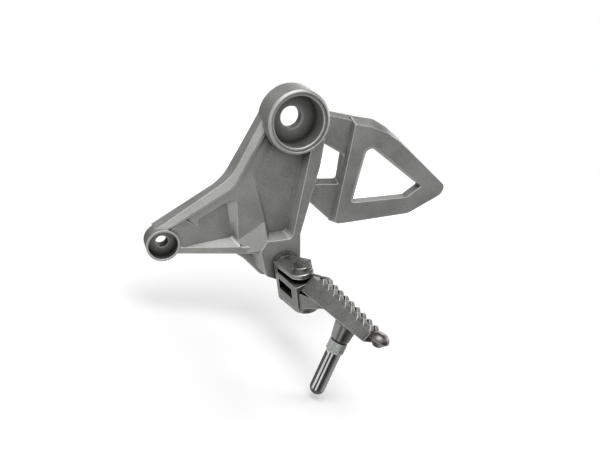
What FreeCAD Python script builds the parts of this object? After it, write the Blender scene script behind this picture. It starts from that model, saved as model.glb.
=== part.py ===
import FreeCAD, Part
import math
import os

from FreeCAD import Vector

# Left-hand rider's footpeg hanger of a motorcycle: a casting with a heel guard, and a folding peg.
# Millimetres. X runs rearward along the bike, Y inward to the frame, Z up. The outer side faces -Y.
# The origin is the axis of the upper mounting bore, on the back face that bolts to the frame.

# Upper mounting boss
BOSS_HEIGHT = 24.0
BOSS_PAD_RADIUS = 17.0
BOSS_BACK_RADIUS = 22.8
BOSS_MOUTH_RADIUS = 21.8
BOSS_BEVEL = 1.3
CUP_RADIUS = 17.4
CUP_FLOOR = 7.0
CUP_BEVEL = 0.6
MOUTH_STEP_RADIUS = 19.8
MOUTH_STEP = 1.2
BORE_RADIUS = 7.5
BORE_BEVEL = 0.9

# Lower mounting boss at the front end of the arm
SMALL_X = -55.5
SMALL_Z = -108.5
SMALL_HEIGHT = 16.0
SMALL_PAD_RADIUS = 9.5
SMALL_RADIUS = 11.3
SMALL_CUP_RADIUS = 9.9
SMALL_CUP_FLOOR = 8.6
SMALL_BORE_RADIUS = 4.25

# Heights of the casting's levels above the back face
BACK_LEVEL = 4.0
FLANGE_HEIGHT = 6.0
SHOULDER_HEIGHT = 11.0
FRONT_RIM_HEIGHT = 14.0
FRONT_RIM_EDGE = 12.0
ARM_RIM_HEIGHT = 14.0
LUG_HEIGHT = 16.0
LUG_FOOT = 4.0
RAMP_RISE = 0.31
POCKET_FLOOR = 8.0
ARM_FLOOR_START = 13.0
ARM_FLOOR_SLOPE = 0.17
ARM_FLOOR_FROM = 14.0
ARM_AIM_Z = -80.0
BACK_POCKET_DEPTH = 3.5
EDGE_BEVEL = 0.7

# Heel guard, a joggled plate behind the peg
GUARD_THICKNESS = 8.0
GUARD_STEP = 5.0
LIP_FOOT = 2.0
LIP_OVER = 0.5

# Step joint, the steel clevis bolted to the lug, and its fold axis
PIN_X = 42.5
PIN_REACH = 25.0
PIN_Z = -104.5
PIN_TILT = 30.0
JOINT_SWEEP = 9.0
COLLAR_X = 34.5
COLLAR_Z = -100.5
COLLAR_RADIUS = 8.4
COLLAR_FLANGE_RADIUS = 9.6
COLLAR_FLANGE = 1.6
SPIGOT_RADIUS = 6.0
SPIGOT_LENGTH = 7.0
SPIGOT_CLEARANCE = 0.03
EAR_TOP = 14.2
EAR_THICKNESS = 3.3
EAR_BOTTOM = 16.8
LOWER_EAR_THICKNESS = 4.2
EAR_RADIUS = 9.8
UPPER_EAR_RADIUS = 8.6
EAR_NEAR = 10.7
EAR_FAR = 9.0
WEB_BACK = 22.5
WEB_THICKNESS = 4.0
WEB_NOTCH = 3.4
WEB_NOTCH_LEVEL = 5.0
EAR_STOP_BACK = 7.4
EAR_STOP_SIDE = 11.9
EAR_END_OUT = 5.5
EAR_END_SIDE = 5.8
EAR_CHAMFER = 0.5

# Bolt that holds the step joint, from behind
BOLT_RADIUS = 4.0
BOLT_LENGTH = 11.0
BOLT_RUNOUT = 1.0
BOLT_HEX = 12.0
BOLT_HEAD = 5.0
BOLT_THREAD_CLEARANCE = 0.05
BOLT_HOLE_RADIUS = 4.4
BOLT_WELL_RADIUS = 9.5
BOLT_SEAT_WALL = 1.0
BOLT_WASHER_RADIUS = 8.0
BOLT_WASHER = 1.6

# Floor of the well behind the lug, where the bolt's washer sits
BOLT_WELL_DEPTH = LUG_HEIGHT - SPIGOT_LENGTH - BOLT_SEAT_WALL

# Pivot pin with its washers and split pin
PIN_RADIUS = 4.0
PIN_EAR_CLEARANCE = 0.05
PIN_PEG_CLEARANCE = 0.06
PIN_HEAD_RADIUS = 6.1
PIN_HEAD = 2.6
PIN_TAIL = 3.4
PIN_TAIL_CHAMFER = 0.8
PIN_HEAD_CHAMFER = 0.5
PIN_WASHER_RADIUS = 7.0
PIN_WASHER = 1.0
SPLIT_RADIUS = 1.0
SPLIT_CLEARANCE = 0.05
SPLIT_LENGTH = 11.0
SPLIT_GAP = 0.05
SPLIT_EYE = 1.6
SPLIT_EYE_WIRE = 0.8

# Return spring round the pin, between the upper ear and the peg
WIRE_RADIUS = 0.6
COIL_RADIUS = 6.0
COIL_PITCH = 1.25
COIL_TURNS = 1.25
COIL_GAP = 0.05
COIL_PEG_TAIL = 5.4
COIL_EAR_TAIL = 8.0

# Root of the peg, between the ears
ROOT_TOP = 7.3
ROOT_PLAY = 0.3
ROOT_UPPER_PLATE = 4.5
ROOT_LOWER_PLATE = 6.5
ROOT_END = 9.5
ROOT_NEAR = 11.3
ROOT_FAR = 11.0
ROOT_STOP_GAP = 0.3
ROOT_BLOCK_START = 2.0
ROOT_CUT_OUT = 5.0
ROOT_CUT_SIDE = 3.0
ROOT_CORNER = 1.5
BLEND_INSET = 0.35

# Bar of the peg, with its tread, tip and feeler boss
BAR_HEADING = 7.0
BAR_NEAR = 3.0
BAR_ROOT_WIDTH = 9.8
BAR_TIP_WIDTH = 8.4
BAR_NEAR_SLOPE = 0.5
BAR_FAR_SLOPE = 0.25
BAR_START = 6.5
BAR_CLEARANCE = 0.6
FOLD_LIMIT = 80.0
BAR_END = 80.0
BAR_TAPER_START = 30.0
BAR_SWING = 30.0
TREAD_HEIGHT = 12.3
BAR_ROOT_DEPTH = 9.9
BAR_TIP_DEPTH = 5.9
LUMP_START = 5.0
LUMP_TOP = 2.0
LUMP_END = 38.0
LUMP_MARGIN = 1.0
LUMP_RISE = 3.0
TOOTH_FIRST = 18.5
TOOTH_PITCH = 7.15
TOOTH_COUNT = 9
TOOTH_HEIGHT = 3.3
TOOTH_CREST = 1.2
TOOTH_GAP = 0.05
TOOTH_SIDE_GAP = 0.15
TOOTH_SIDE_TAPER = 0.9
TOOTH_SINK = 0.2
HUMP_START = 6.8
HUMP_SHOULDER = 9.0
HUMP_SHOULDER_HEIGHT = 1.5
HUMP_CREST_START = 14.5
HUMP_CREST_END = 18.8
HUMP_HEIGHT = 3.5
HUMP_BEVEL = 1.0
TIP_CENTRE = 83.6
TIP_SIDE = 2.3
TIP_RADIUS = 6.4
TIP_RIDGE = 1.5
TIP_LOW = 5.8
TIP_HIGH = 2.9
TIP_FOOT_RADIUS = 2.6
TIP_CROWN_RADIUS = 2.0
TIP_BULGE_RADIUS = 5.1
TIP_BULGE = 1.3
FEELER_OUT = 53.0
FEELER_SIDE = 2.1
FEELER_BOSS_SINK = 7.8
FEELER_BOSS_TOP_RADIUS = 8.0
FEELER_BOSS_RADIUS = 6.2
FEELER_BOSS_BOTTOM = -8.5
FEELER_HOLE_DEPTH = 11.0

# Feeler bolt under the peg, with its spring washer
FEELER_THREAD_RADIUS = 4.0
FEELER_THREAD_CLEARANCE = 0.05
FEELER_THREAD = 9.0
FEELER_WASHER_RADIUS = 5.6
FEELER_WASHER = 1.5
FEELER_HEX = 10.4
FEELER_HEX_HEIGHT = 7.8
FEELER_HEX_TRIM = 0.5
FEELER_HEX_SLOPE = 1.7
FEELER_TURN = -16.0
FEELER_ROD_RADIUS = 5.15
FEELER_ROD = 33.0

# How far a cutting tool runs past the face it enters, and the direction across the bike
SINK = 1.0
ACROSS = Vector(0, 1, 0)

# Limits that pick edges: the distance at which two places are one, and how far an edge runs along an axis
SAME_PLACE = 1e-6
RUNS_ALONG = 0.99
RUNS_OFF = 0.5


def lift(level, x, z):
    """Point at a place on the casting; the level is a height or a rule for the height."""
    height = level(x, z) if callable(level) else level
    return Vector(x, -height, z)


def outline(points, level):
    """Closed wire at a height above the back face; each point is x, z and corner radius."""
    count = len(points)
    corners = []
    for index in range(count):
        before = Vector(points[index - 1][0], 0, points[index - 1][1])
        here = Vector(points[index][0], 0, points[index][1])
        after = Vector(points[(index + 1) % count][0], 0, points[(index + 1) % count][1])
        radius = points[index][2]
        if radius == 0:
            corners.append((here, None, here))
            continue
        to_before = (before - here).normalize()
        to_after = (after - here).normalize()
        half = to_before.getAngle(to_after) / 2
        setback = radius / math.tan(half)
        inward = (to_before + to_after).normalize()
        middle = here + inward * (radius / math.sin(half) - radius)
        corners.append((here + to_before * setback, middle, here + to_after * setback))
    edges = []
    for index in range(count):
        start, middle, end = corners[index]
        start = lift(level, start.x, start.z)
        end = lift(level, end.x, end.z)
        if middle is not None:
            middle = lift(level, middle.x, middle.z)
            edges.append(Part.Arc(start, middle, end).toShape())
        following = corners[(index + 1) % count][0]
        following = lift(level, following.x, following.z)
        if (following - end).Length > SAME_PLACE:
            edges.append(Part.makeLine(end, following))
    return Part.Wire(edges)


def slab(points, low, high, bevel=0):
    """Flat block between two heights, with its outer top edge bevelled."""
    face = Part.Face(outline(points, low))
    block = face.extrude(Vector(0, low - high, 0))
    if bevel == 0:
        return block
    top = [edge for edge in block.Edges if abs(edge.CenterOfMass.y + high) < SAME_PLACE]
    return block.makeChamfer(bevel, top)


def sloped(low_points, low, high_points, high):
    """Block with sloping sides between two outlines of as many points."""
    return Part.makeLoft([outline(low_points, low), outline(high_points, high)], True, True)


def drum(x, z, radius, low, high, top_radius=None):
    """Round block standing on the casting, straight or tapered."""
    base = Vector(x, -low, z)
    if top_radius is None:
        return Part.makeCylinder(radius, high - low, base, -ACROSS)
    return Part.makeCone(radius, top_radius, high - low, base, -ACROSS)


def frame_of(x_axis, y_axis, z_axis, origin):
    """Placement whose axes are the three given directions."""
    matrix = FreeCAD.Matrix(
        x_axis.x, y_axis.x, z_axis.x, origin.x,
        x_axis.y, y_axis.y, z_axis.y, origin.y,
        x_axis.z, y_axis.z, z_axis.z, origin.z,
        0, 0, 0, 1)
    return FreeCAD.Placement(matrix)


def joint_frame():
    """Axes at the pin: x outward along the joint, y across it, z up along the pin."""
    tilt = math.radians(PIN_TILT)
    sweep = math.radians(JOINT_SWEEP)
    pin_axis = Vector(-math.sin(tilt), 0, math.cos(tilt))
    level = Vector(math.cos(tilt), 0, math.sin(tilt))
    outward = level * math.sin(sweep) - ACROSS * math.cos(sweep)
    side = level * math.cos(sweep) + ACROSS * math.sin(sweep)
    return frame_of(outward, side, pin_axis, Vector(PIN_X, -LUG_HEIGHT - PIN_REACH, PIN_Z))


def bar_frame():
    """Axes at the pin for the bar: x outward along the tread, y rearward, z up."""
    heading = math.radians(BAR_HEADING)
    outward = Vector(math.sin(heading), -math.cos(heading), 0)
    side = Vector(math.cos(heading), math.sin(heading), 0)
    return frame_of(outward, side, Vector(0, 0, 1), Vector(PIN_X, -LUG_HEIGHT - PIN_REACH, PIN_Z))


def moved_copy(shape, frame):
    """Copy of a shape moved by a placement."""
    copy = shape.copy()
    copy.Placement = frame.multiply(copy.Placement)
    return copy


def prism(points, low, high):
    """Upright block in a local frame; each point is x and y."""
    corners = [Vector(x, y, low) for x, y in points]
    face = Part.Face(Part.makePolygon(corners + [corners[0]]))
    return face.extrude(Vector(0, 0, high - low))


def hexagon(flats, low, high):
    """Hexagonal prism about the local z axis."""
    radius = flats / math.sqrt(3)
    turns = [math.radians(60 * number) for number in range(6)]
    points = [(radius * math.cos(turn), radius * math.sin(turn)) for turn in turns]
    return prism(points, low, high)


def edges_at(shape, level):
    """Edges of a shape that lie at one height of its local frame."""
    return [edge for edge in shape.Edges if abs(edge.CenterOfMass.z - level) < SAME_PLACE]


def write(name, shape):
    """Save one piece of the assembly."""
    shape.exportStep("parts/" + name + ".step")


# Outlines of the casting, seen from the outer side

FRONT_EDGE = [(-21.8, -2.0, 0), (-30.2, -55.8, 35.0), (-65.0, -99.5, 0)]
FRONT_RIM_INNER = [(-56.0, -99.0, 0), (-21.6, -57.0, 12.0), (-15.0, -11.0, 0)]
FRONT_CREASE = [(-20.3, -2.0, 0), (-26.7, -51.7, 30.0), (-64.0, -101.0, 0)]
FRONT_CREST = [(-16.6, -9.6, 0), (-23.4, -57.0, 16.0), (-58.0, -99.2, 0)]
REAR_EDGE = [(44.7, -93.3, 0), (37.6, -76.8, 12.0), (30.8, -24.0, 30.0), (26.0, -5.0, 0)]
REAR_RIM_INNER = [(16.0, -8.0, 0), (30.0, -80.0, 0), (35.0, -94.0, 0)]
UNDERSIDE = [(-57.0, -113.0, 0), (-50.0, -114.3, 0), (13.0, -99.0, 0), (30.0, -103.0, 0)]
BODY = FRONT_CREST + UNDERSIDE + REAR_EDGE
ARM_RIM = [(-52.0, -114.7, 0), (13.8, -98.9, 0), (13.8, -93.0, 0), (-40.0, -106.4, 0), (-52.0, -109.6, 0)]
ARM_WALL = [(-42.0, -108.0, 0), (-1.5, -97.5, 0), (-5.6, -92.8, 0), (-40.0, -105.2, 0)]
ARM_FILL = [(-57.0, -101.0, 0), (-46.0, -88.0, 0), (-24.0, -97.0, 0), (-33.0, -106.0, 0),
            (-54.0, -112.0, 0)]
RAMP_FROM = (-8.0, -98.0)
RAMP_UP = (0.8, -0.6)
RAMP = [RAMP_FROM + (0,), (10.0, -74.0, 0), (17.0, -84.0, 0), (13.4, -96.0, 0), (4.0, -100.0, 0)]
FLANGE = [(-16.0, -103.6, 0), (4.5, -106.8, 30.0), (24.4, -117.2, 7.0), (35.0, -116.6, 5.0),
          (38.0, -98.0, 0), (10.0, -94.0, 0)]
LUG = [(13.2, -96.5, 1.5), (16.5, -84.0, 0), (33.0, -77.5, 0), (37.6, -76.8, 0), (44.7, -93.3, 10.0),
       (46.5, -106.0, 7.0), (36.0, -114.6, 6.0), (24.6, -113.6, 3.0)]
LUG_BASE = [(7.0, -99.0, 1.5), (12.0, -82.0, 0), (33.0, -77.5, 0), (37.6, -76.8, 0), (44.7, -93.3, 10.0),
            (46.5, -106.0, 7.0), (36.0, -114.9, 6.0), (18.5, -112.3, 3.0)]
POCKET_BOTTOM = [(-5.5, -14.0, 0), (-8.5, -45.2, 5.0), (17.4, -83.6, 2.0), (28.8, -78.6, 4.0),
                 (16.2, -12.0, 0)]
POCKET_MOUTH = [(-20.0, -12.5, 0), (-23.4, -46.4, 5.0), (14.4, -88.6, 2.0), (33.2, -81.0, 4.0),
                (18.4, -11.0, 0)]
ARM_POCKET_BOTTOM = [(-46.0, -97.2, 0), (-22.6, -67.6, 4.0), (-7.8, -93.5, 2.0), (-40.0, -106.6, 0)]
ARM_POCKET_MOUTH = [(-47.0, -96.4, 0), (-13.5, -59.0, 4.0), (-1.0, -96.8, 2.0), (-41.2, -107.2, 0)]
BACK_PAD = [(-15.0, -8.0, 0), (-19.0, -52.0, 10.0), (-49.0, -95.0, 0), (-45.0, -106.0, 0), (8.0, -94.0, 0),
            (26.0, -106.0, 0), (38.0, -96.0, 0), (31.0, -74.0, 0), (24.0, -24.0, 0), (20.0, -6.0, 0)]
BACK_POCKET = [(-13.0, -24.5, 4.0), (-16.0, -45.0, 8.0), (11.0, -86.0, 4.0), (27.5, -79.0, 4.0),
               (17.0, -24.0, 4.0)]

GUARD_INNER = [(16.0, 10.8, 0), (27.0, 12.4, 0), (49.5, 15.9, 4.0), (67.5, -63.0, 2.0), (60.4, -62.3, 3.0),
               (39.8, -53.9, 0), (26.0, -48.0, 0), (18.0, -4.0, 0)]
GUARD_INNER_FRONT = [(16.0, 8.8, 0), (26.4, 10.4, 0), (49.0, 13.6, 4.0), (67.0, -62.4, 2.0),
                     (60.4, -61.6, 3.0), (40.0, -53.2, 0), (26.0, -47.2, 0), (18.0, -4.0, 0)]
GUARD_BACK = [(42.4, 15.3, 0.8), (61.0, 18.8, 14.0), (74.5, 16.8, 20.0), (90.5, 11.8, 60.0),
              (142.4, -7.4, 5.0), (140.6, -16.6, 6.0), (120.0, -38.2, 12.0),
              (74.0, -58.2, 40.0), (59.8, -64.2, 3.0)]
GUARD_FRONT = [(45.2, 11.4, 0.8), (58.5, 13.8, 14.0), (71.5, 13.8, 20.0), (85.5, 11.2, 60.0),
               (141.2, -8.2, 5.0), (139.8, -16.0, 6.0), (119.4, -37.6, 12.0),
               (73.8, -57.5, 40.0), (62.0, -62.4, 3.0)]
SMALL_WINDOW = [(24.0, -8.4, 0), (49.0, -12.2, 2.0), (54.2, -31.4, 2.5), (26.0, -40.2, 0)]
SMALL_WINDOW_FRONT = [(24.0, -8.4, 0), (49.0, -12.2, 2.0), (55.2, -35.2, 2.5), (26.0, -44.0, 0)]
SMALL_LIP_FOOT = [(24.0, -11.0, 0), (47.5, -14.5, 2.0), (52.5, -30.0, 2.0), (26.0, -38.0, 0)]
SMALL_LIP = [(24.0, -5.5, 0), (49.8, -9.4, 2.0), (54.0, -33.0, 2.5), (26.0, -42.0, 0)]
BIG_WINDOW = [(61.8, 1.6, 5.0), (69.2, -42.8, 1.6), (112.0, -26.0, 2.0), (120.2, -14.2, 1.0),
              (115.2, -13.3, 0.8)]
BIG_LIP_FOOT = [(63.4, -0.6, 4.5), (70.0, -41.2, 1.6), (111.4, -24.8, 2.0), (118.0, -15.4, 1.0),
                (114.6, -14.6, 0.8)]
BIG_LIP = [(57.8, 5.2, 7.0), (66.0, -43.6, 1.6), (112.2, -26.2, 2.0), (121.0, -13.9, 1.0),
           (115.6, -11.3, 0.8)]


def arm_floor(x, z):
    """Height of the arm pocket's floor, which sinks from the front boss toward the lug."""
    rise = ARM_AIM_Z - SMALL_Z
    reach = math.hypot(SMALL_X, rise)
    along = ((SMALL_X - x) * SMALL_X + (z - SMALL_Z) * rise) / reach
    return ARM_FLOOR_START - ARM_FLOOR_SLOPE * (along - ARM_FLOOR_FROM)


def heel_guard():
    """Plate that keeps the boot off the wheel: an inner web, a raised outer frame and two windows."""
    inner = sloped(GUARD_INNER, 0, GUARD_INNER_FRONT, GUARD_THICKNESS)
    outer = sloped(GUARD_BACK, GUARD_STEP, GUARD_FRONT, GUARD_STEP + GUARD_THICKNESS)
    plate = inner.fuse(outer)
    front = GUARD_STEP + GUARD_THICKNESS
    small = sloped(SMALL_WINDOW, -SINK, SMALL_WINDOW_FRONT, front + SINK)
    small_lip = sloped(SMALL_LIP_FOOT, GUARD_THICKNESS - LIP_FOOT, SMALL_LIP, GUARD_THICKNESS + LIP_OVER)
    big = slab(BIG_WINDOW, -SINK, front + SINK)
    big_lip = sloped(BIG_LIP_FOOT, front - LIP_FOOT, BIG_LIP, front + LIP_OVER)
    for tool in (small, small_lip, big, big_lip):
        plate = plate.cut(tool)
    return plate


def ramp_height(x, z):
    """Height of the ramp that rises from the body into the lug."""
    along = (x - RAMP_FROM[0]) * RAMP_UP[0] + (z - RAMP_FROM[1]) * RAMP_UP[1]
    return SHOULDER_HEIGHT + RAMP_RISE * along


def front_rim():
    """Rim along the front edge: a crest on its inner side and a broad face that falls to the outside."""
    foot_plan = FRONT_EDGE + FRONT_RIM_INNER
    crease_plan = FRONT_CREASE + FRONT_RIM_INNER
    crest_plan = FRONT_CREST + FRONT_RIM_INNER
    low = sloped(foot_plan, BACK_LEVEL, crease_plan, FRONT_RIM_EDGE)
    return low.fuse(sloped(crease_plan, FRONT_RIM_EDGE, crest_plan, FRONT_RIM_HEIGHT))


def ribs_and_levels():
    """Body of the hanger with its raised rims, before the pockets are taken out."""
    rear_rim = slab(REAR_RIM_INNER + REAR_EDGE, BACK_LEVEL, LUG_HEIGHT, EDGE_BEVEL)
    body = slab(BODY, BACK_LEVEL, SHOULDER_HEIGHT)
    pad = slab(BACK_PAD, 0, BACK_LEVEL + SINK)
    arm_rim = slab(ARM_RIM, BACK_LEVEL, ARM_RIM_HEIGHT, EDGE_BEVEL)
    flange = slab(FLANGE, 0, FLANGE_HEIGHT, EDGE_BEVEL)
    arm_wall = slab(ARM_WALL, BACK_LEVEL, ARM_RIM_HEIGHT)
    arm_fill = sloped(ARM_FILL, BACK_LEVEL, ARM_FILL, arm_floor)
    ramp = sloped(RAMP, BACK_LEVEL, RAMP, ramp_height)
    lug = slab(LUG_BASE, 0, LUG_FOOT).fuse(sloped(LUG_BASE, LUG_FOOT, LUG, LUG_HEIGHT))
    return body.multiFuse([front_rim(), rear_rim, pad, arm_rim, arm_wall, arm_fill, ramp, flange, lug])


def hanger():
    """One aluminium casting: two mounting bosses, the pocketed body, the lug and the heel guard."""
    body = ribs_and_levels()
    pocket = sloped(POCKET_BOTTOM, POCKET_FLOOR, POCKET_MOUTH, LUG_HEIGHT + SINK)
    arm_pocket = sloped(ARM_POCKET_BOTTOM, arm_floor, ARM_POCKET_MOUTH, ARM_RIM_HEIGHT)
    back_pocket = slab(BACK_POCKET, -SINK, BACK_POCKET_DEPTH)
    body = body.cut(pocket).cut(arm_pocket).cut(back_pocket)
    boss_top = BOSS_HEIGHT - BOSS_BEVEL
    boss_pad = drum(0, 0, BOSS_PAD_RADIUS, 0, BACK_LEVEL + SINK)
    boss = drum(0, 0, BOSS_BACK_RADIUS, BACK_LEVEL, boss_top, BOSS_MOUTH_RADIUS)
    boss_rim = drum(0, 0, BOSS_MOUTH_RADIUS, boss_top, BOSS_HEIGHT, BOSS_MOUTH_RADIUS - BOSS_BEVEL)
    small_pad = drum(SMALL_X, SMALL_Z, SMALL_PAD_RADIUS, 0, BACK_LEVEL + SINK)
    small_boss = drum(SMALL_X, SMALL_Z, SMALL_RADIUS, BACK_LEVEL - SINK, SMALL_HEIGHT)
    body = body.multiFuse([boss_pad, boss, boss_rim, small_pad, small_boss, heel_guard()])
    cup = drum(0, 0, CUP_RADIUS, CUP_FLOOR, BOSS_HEIGHT + SINK)
    ledge = BOSS_HEIGHT - MOUTH_STEP
    cup_bevel = drum(0, 0, CUP_RADIUS, ledge - CUP_BEVEL, ledge, CUP_RADIUS + CUP_BEVEL)
    mouth = drum(0, 0, MOUTH_STEP_RADIUS, ledge, BOSS_HEIGHT + SINK)
    bore = drum(0, 0, BORE_RADIUS, -SINK, CUP_FLOOR + SINK)
    bore_bevel = drum(0, 0, BORE_RADIUS, CUP_FLOOR - BORE_BEVEL, CUP_FLOOR, BORE_RADIUS + BORE_BEVEL)
    small_cup = drum(SMALL_X, SMALL_Z, SMALL_CUP_RADIUS, SMALL_CUP_FLOOR, SMALL_HEIGHT + SINK)
    small_bore = drum(SMALL_X, SMALL_Z, SMALL_BORE_RADIUS, -SINK, SMALL_CUP_FLOOR + SINK)
    seat = drum(COLLAR_X, COLLAR_Z, SPIGOT_RADIUS + SPIGOT_CLEARANCE, BOLT_WELL_DEPTH, LUG_HEIGHT + SINK)
    seat_floor = drum(COLLAR_X, COLLAR_Z, SPIGOT_RADIUS + SINK, BOLT_WELL_DEPTH - SINK,
                      LUG_HEIGHT - SPIGOT_LENGTH - SPIGOT_CLEARANCE)
    bolt_hole = drum(COLLAR_X, COLLAR_Z, BOLT_HOLE_RADIUS, BOLT_WELL_DEPTH - SINK, LUG_HEIGHT)
    seat = seat.cut(seat_floor).fuse(bolt_hole)
    well = drum(COLLAR_X, COLLAR_Z, BOLT_WELL_RADIUS, -SINK, BOLT_WELL_DEPTH)
    for tool in (cup, cup_bevel, mouth, bore, bore_bevel, small_cup, small_bore, seat, well):
        body = body.cut(tool)
    return body.removeSplitter()


def upper_ear():
    """Upper ear: straight on the near side, round at the end, with a stop corner on the far side."""
    shift = EAR_RADIUS - UPPER_EAR_RADIUS
    corners = [(-WEB_BACK, -EAR_NEAR), (0, -EAR_RADIUS), (UPPER_EAR_RADIUS, -shift),
               (EAR_END_OUT, EAR_END_SIDE), (-EAR_STOP_BACK, EAR_STOP_SIDE), (-WEB_BACK, WEB_NOTCH)]
    plan = prism(corners, EAR_TOP - EAR_THICKNESS, EAR_TOP)
    end = Part.makeCylinder(UPPER_EAR_RADIUS, EAR_THICKNESS, Vector(0, -shift, EAR_TOP - EAR_THICKNESS))
    return plan.fuse(end).removeSplitter()


def lower_ear():
    """Lower ear: a straight-sided tongue with a round end."""
    plan = prism([(-WEB_BACK, -EAR_NEAR), (0, -EAR_RADIUS), (0, EAR_RADIUS), (-WEB_BACK, EAR_FAR)],
                 -EAR_BOTTOM, LOWER_EAR_THICKNESS - EAR_BOTTOM)
    end = Part.makeCylinder(EAR_RADIUS, LOWER_EAR_THICKNESS, Vector(0, 0, -EAR_BOTTOM))
    return plan.fuse(end).removeSplitter()


def joint_web():
    """Web that joins the ears, with its far upper corner cut away."""
    back = -WEB_BACK
    corners = [(-EAR_NEAR, -EAR_BOTTOM), (EAR_FAR, -EAR_BOTTOM), (EAR_FAR, WEB_NOTCH_LEVEL),
               (WEB_NOTCH, EAR_TOP), (-EAR_NEAR, EAR_TOP)]
    points = [Vector(back, y, z) for y, z in corners]
    face = Part.Face(Part.makePolygon(points + [points[0]]))
    return face.extrude(Vector(WEB_THICKNESS, 0, 0))


def step_joint():
    """Forged steel clevis: a round neck with a spigot, a web and two ears for the pin."""
    clevis = joint_web().multiFuse([upper_ear(), lower_ear()]).removeSplitter()
    clevis = clevis.makeChamfer(EAR_CHAMFER, edges_at(clevis, EAR_TOP))
    hole = Part.makeCylinder(PIN_RADIUS + PIN_EAR_CLEARANCE, 4 * EAR_TOP, Vector(0, 0, -2 * EAR_TOP))
    clevis = moved_copy(clevis.cut(hole), joint_frame())
    web_middle = (WEB_BACK - WEB_THICKNESS / 2) * math.cos(math.radians(JOINT_SWEEP))
    web_face = LUG_HEIGHT + PIN_REACH - web_middle
    neck = drum(COLLAR_X, COLLAR_Z, COLLAR_RADIUS, LUG_HEIGHT, web_face)
    flange = drum(COLLAR_X, COLLAR_Z, COLLAR_FLANGE_RADIUS, LUG_HEIGHT, LUG_HEIGHT + COLLAR_FLANGE)
    spigot = drum(COLLAR_X, COLLAR_Z, SPIGOT_RADIUS, LUG_HEIGHT - SPIGOT_LENGTH, LUG_HEIGHT)
    thread = drum(COLLAR_X, COLLAR_Z, BOLT_RADIUS + BOLT_THREAD_CLEARANCE, LUG_HEIGHT - SPIGOT_LENGTH - SINK,
                  BOLT_WELL_DEPTH - BOLT_WASHER + BOLT_LENGTH + BOLT_RUNOUT)
    return clevis.multiFuse([neck, flange, spigot]).cut(thread).removeSplitter()


def joint_bolt():
    """Hexagon bolt that draws the step joint onto the lug."""
    seat = BOLT_WELL_DEPTH - BOLT_WASHER
    shank = Part.makeCylinder(BOLT_RADIUS, BOLT_LENGTH)
    head = hexagon(BOLT_HEX, -BOLT_HEAD, 0)
    bolt = shank.fuse(head)
    frame = frame_of(Vector(1, 0, 0), Vector(0, 0, 1), -ACROSS, Vector(COLLAR_X, -seat, COLLAR_Z))
    return moved_copy(bolt, frame)


def joint_washer():
    """Plain washer under the bolt head."""
    disc = drum(COLLAR_X, COLLAR_Z, BOLT_WASHER_RADIUS, BOLT_WELL_DEPTH - BOLT_WASHER, BOLT_WELL_DEPTH)
    hole = drum(COLLAR_X, COLLAR_Z, BOLT_HOLE_RADIUS, BOLT_WELL_DEPTH - BOLT_WASHER - SINK,
                BOLT_WELL_DEPTH + SINK)
    return disc.cut(hole)


def pivot_pin():
    """Headed pin the peg folds on, cross-drilled at its tail."""
    top = EAR_TOP + PIN_WASHER
    tail = -EAR_BOTTOM - PIN_WASHER - PIN_TAIL
    shank = Part.makeCylinder(PIN_RADIUS, top - tail, Vector(0, 0, tail))
    shank = shank.makeChamfer(PIN_TAIL_CHAMFER, edges_at(shank, tail))
    head = Part.makeCylinder(PIN_HEAD_RADIUS, PIN_HEAD, Vector(0, 0, top))
    head = head.makeChamfer(PIN_HEAD_CHAMFER, edges_at(head, top + PIN_HEAD))
    start = Vector(0, -2 * PIN_RADIUS, split_level())
    hole = Part.makeCylinder(SPLIT_RADIUS + SPLIT_CLEARANCE, 4 * PIN_RADIUS, start, ACROSS)
    return moved_copy(shank.fuse(head).cut(hole), joint_frame())


def split_level():
    """Place of the split pin along the pivot pin."""
    return -EAR_BOTTOM - PIN_WASHER - SPLIT_RADIUS - SPLIT_GAP


def pin_washers():
    """Pair of plain washers on the pivot pin, under its head and over its split pin."""
    rings = []
    for low in (EAR_TOP, -EAR_BOTTOM - PIN_WASHER):
        disc = Part.makeCylinder(PIN_WASHER_RADIUS, PIN_WASHER, Vector(0, 0, low))
        hole = Part.makeCylinder(PIN_RADIUS + PIN_EAR_CLEARANCE, PIN_WASHER + 2 * SINK,
                                 Vector(0, 0, low - SINK))
        rings.append(moved_copy(disc.cut(hole), joint_frame()))
    return Part.makeCompound(rings)


def split_pin():
    """Split pin through the tail, with its eye on one side."""
    level = split_level()
    leg = Part.makeCylinder(SPLIT_RADIUS, SPLIT_LENGTH, Vector(0, -SPLIT_LENGTH / 2, level), ACROSS)
    eye_centre = Vector(0, SPLIT_LENGTH / 2 + SPLIT_EYE, level)
    eye = Part.makeTorus(SPLIT_EYE, SPLIT_EYE_WIRE, eye_centre)
    return moved_copy(leg.fuse(eye), joint_frame())


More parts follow.
